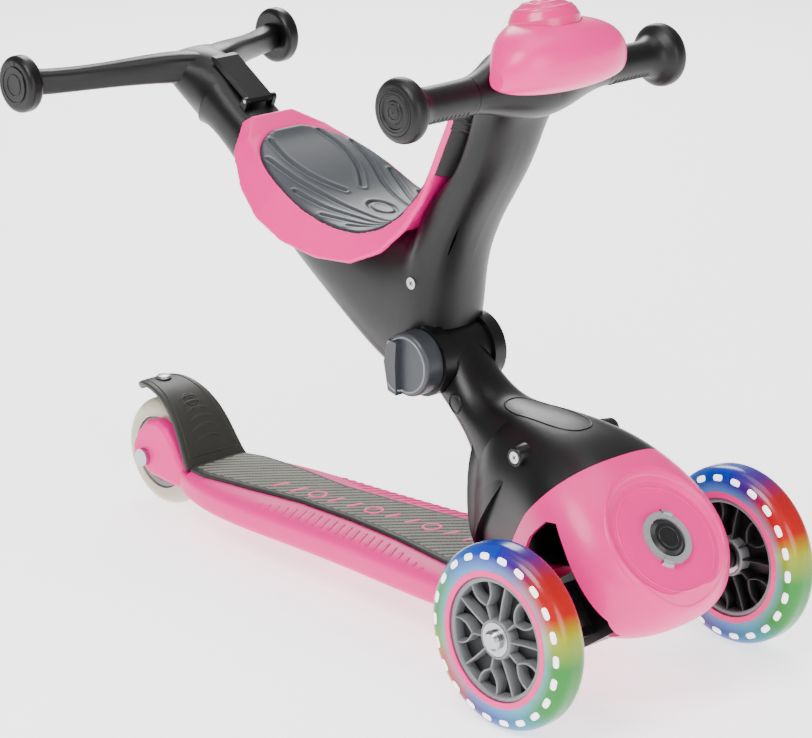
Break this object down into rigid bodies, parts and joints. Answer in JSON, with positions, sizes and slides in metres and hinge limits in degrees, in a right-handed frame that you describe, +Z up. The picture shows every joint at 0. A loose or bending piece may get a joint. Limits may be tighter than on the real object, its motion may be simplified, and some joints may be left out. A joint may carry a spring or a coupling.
{
  "type": "kick scooter",
  "caption": "Child's three-wheel scooter with a footboard, lean-steered front truck, rear brake, and a folding seat frame with handlebar and sliding rear T-bar.",
  "frame": {"origin": "centre of the bounding box's footprint on the floor, with the wheels standing on z = 0", "axes": "+X forward towards the nose, +Y the rider's left, +Z up"},
  "size_m": [0.5624, 0.245, 0.4351],
  "materials": {
    "clear_tyre": "translucent polyurethane with lamps inside",
    "cream_tyre": "translucent polyurethane",
    "wheel_core": "satin grey ribs over black",
    "grey_core": "satin",
    "steel": "bright zinc",
    "pink_gloss": "glossy moulded",
    "pink_deck": "fine-grained moulded",
    "dome_pink": "glossy translucent",
    "light_unit": "moulded",
    "black_plastic": "satin moulded",
    "post_tube": "satin black",
    "mat_rubber": "ribbed",
    "brake_plastic": "fine-grained",
    "grip_rubber": "ribbed",
    "cap_plastic": "satin",
    "seat_foam": "soft moulded foam skin",
    "grey_plastic": "satin",
    "silver_ring": "silver",
    "button_black": "satin"
  },
  "bodies": {
    "chassis": {"truck_body": "black_plastic", "nose_cover": "pink_gloss", "lock_ring": "silver_ring", "neck_lower_shell": "black_plastic", "neck_upper_shell": "black_plastic", "pivot_bolt": "steel", "kingpins": "steel", "deck": "pink_deck", "deck_mat": "mat_rubber", "rear_axle": "steel", "brake_pin": "steel", "chassis_screws": "steel"},
    "knuckle_left": {"knuckle_left": "black_plastic", "axle_bolt_left": "steel"},
    "knuckle_right": {"knuckle_right": "black_plastic", "axle_bolt_right": "steel"},
    "tie_rod": {"tie_rod": "post_tube"},
    "front_wheel_left": {"front_left_tyre": "clear_tyre", "front_left_core": "wheel_core", "front_left_bearings": "steel", "front_left_spacer": "steel", "front_left_trim_rings": "pink_gloss", "front_left_light_unit": "light_unit"},
    "front_wheel_right": {"front_right_tyre": "clear_tyre", "front_right_core": "wheel_core", "front_right_bearings": "steel", "front_right_spacer": "steel", "front_right_trim_rings": "pink_gloss", "front_right_light_unit": "light_unit"},
    "rear_wheel": {"rear_tyre": "cream_tyre", "rear_core": "grey_core", "rear_bearings": "steel", "rear_spacer": "steel"},
    "rear_brake": {"brake_fender": "brake_plastic", "brake_pad": "brake_plastic", "brake_rivet": "steel"},
    "lock_button": {"lock_button": "button_black"},
    "seat_frame": {"frame_shell_left": "black_plastic", "frame_shell_right": "black_plastic", "pivot_cap": "black_plastic", "seat_rim": "pink_gloss", "seat_pad": "seat_foam", "post_bush": "black_plastic", "handlebar_tube": "post_tube", "grip_left": "grip_rubber", "grip_right": "grip_rubber", "grip_cap_left": "cap_plastic", "grip_cap_right": "cap_plastic", "head_cover": "pink_gloss", "sound_module": "light_unit", "frame_screws": "steel", "lever_pin": "steel"},
    "module_button": {"module_button": "dome_pink"},
    "t_bar": {"t_bar_post": "post_tube", "t_bar_handle": "black_plastic", "t_bar_caps": "cap_plastic"},
    "height_lever": {"height_lever": "black_plastic"},
    "fold_knob": {"fold_knob": "grey_plastic"}
  },
  "joints": [
    {"name": "steer_left", "type": "hinge", "parent": "chassis", "child": "knuckle_left", "pos_m": [0.22075, 0.06, 0.0605], "axis": [-0.5736, 0, 0.8192], "range_deg": [-12, 12], "stiffness_Nm_per_rad": 6},
    {"name": "steer_right", "type": "hinge", "parent": "chassis", "child": "knuckle_right", "pos_m": [0.22075, -0.06, 0.0605], "axis": [-0.5736, 0, 0.8192], "range_deg": [-12, 12], "stiffness_Nm_per_rad": 6},
    {"name": "tie_rod_pivot", "type": "hinge", "parent": "knuckle_left", "child": "tie_rod", "pos_m": [0.20027, 0.06, 0.04616], "axis": [-0.5736, 0, 0.8192], "range_deg": [-12, 12]},
    {"name": "front_left_spin", "type": "hinge", "parent": "knuckle_left", "child": "front_wheel_left", "pos_m": [0.22075, 0.1057, 0.0605], "axis": [0, 1, 0], "continuous": true},
    {"name": "front_right_spin", "type": "hinge", "parent": "knuckle_right", "child": "front_wheel_right", "pos_m": [0.22075, -0.1057, 0.0605], "axis": [0, 1, 0], "continuous": true},
    {"name": "rear_spin", "type": "hinge", "parent": "chassis", "child": "rear_wheel", "pos_m": [-0.24125, 0, 0.04], "axis": [0, 1, 0], "continuous": true},
    {"name": "brake_press", "type": "hinge", "parent": "chassis", "child": "rear_brake", "pos_m": [-0.195, 0, 0.0445], "axis": [0, -1, 0], "range_deg": [0, 3.1], "stiffness_Nm_per_rad": 4, "springref_deg": -5.73},
    {"name": "lock_press", "type": "slide", "parent": "chassis", "child": "lock_button", "axis": [0.7314, 0, 0.682], "range_m": [-0.003, 0], "stiffness_N_per_m": 300, "springref_m": 0.002},
    {"name": "seat_fold", "type": "hinge", "parent": "chassis", "child": "seat_frame", "pos_m": [0.057, 0, 0.184], "axis": [0, 1, 0], "range_deg": [-26, 0]},
    {"name": "module_press", "type": "slide", "parent": "seat_frame", "child": "module_button", "axis": [-0.2079, 0, 0.9781], "range_m": [-0.002, 0], "stiffness_N_per_m": 800, "springref_m": 0.002},
    {"name": "t_bar_height", "type": "slide", "parent": "seat_frame", "child": "t_bar", "axis": [-0.8499, 0, 0.527], "range_m": [0, 0.1]},
    {"name": "lever_lift", "type": "hinge", "parent": "seat_frame", "child": "height_lever", "pos_m": [-0.13709, 0, 0.32188], "axis": [0, 1, 0], "range_deg": [0, 30]},
    {"name": "knob_turn", "type": "hinge", "parent": "seat_frame", "child": "fold_knob", "pos_m": [0.057, -0.035, 0.184], "axis": [0, 1, 0], "range_deg": [0, 90]}
  ],
  "couplings": [
    {"joint": "steer_right", "follows": "steer_left", "ratio": 1},
    {"joint": "tie_rod_pivot", "follows": "steer_left", "ratio": -1}
  ]
}
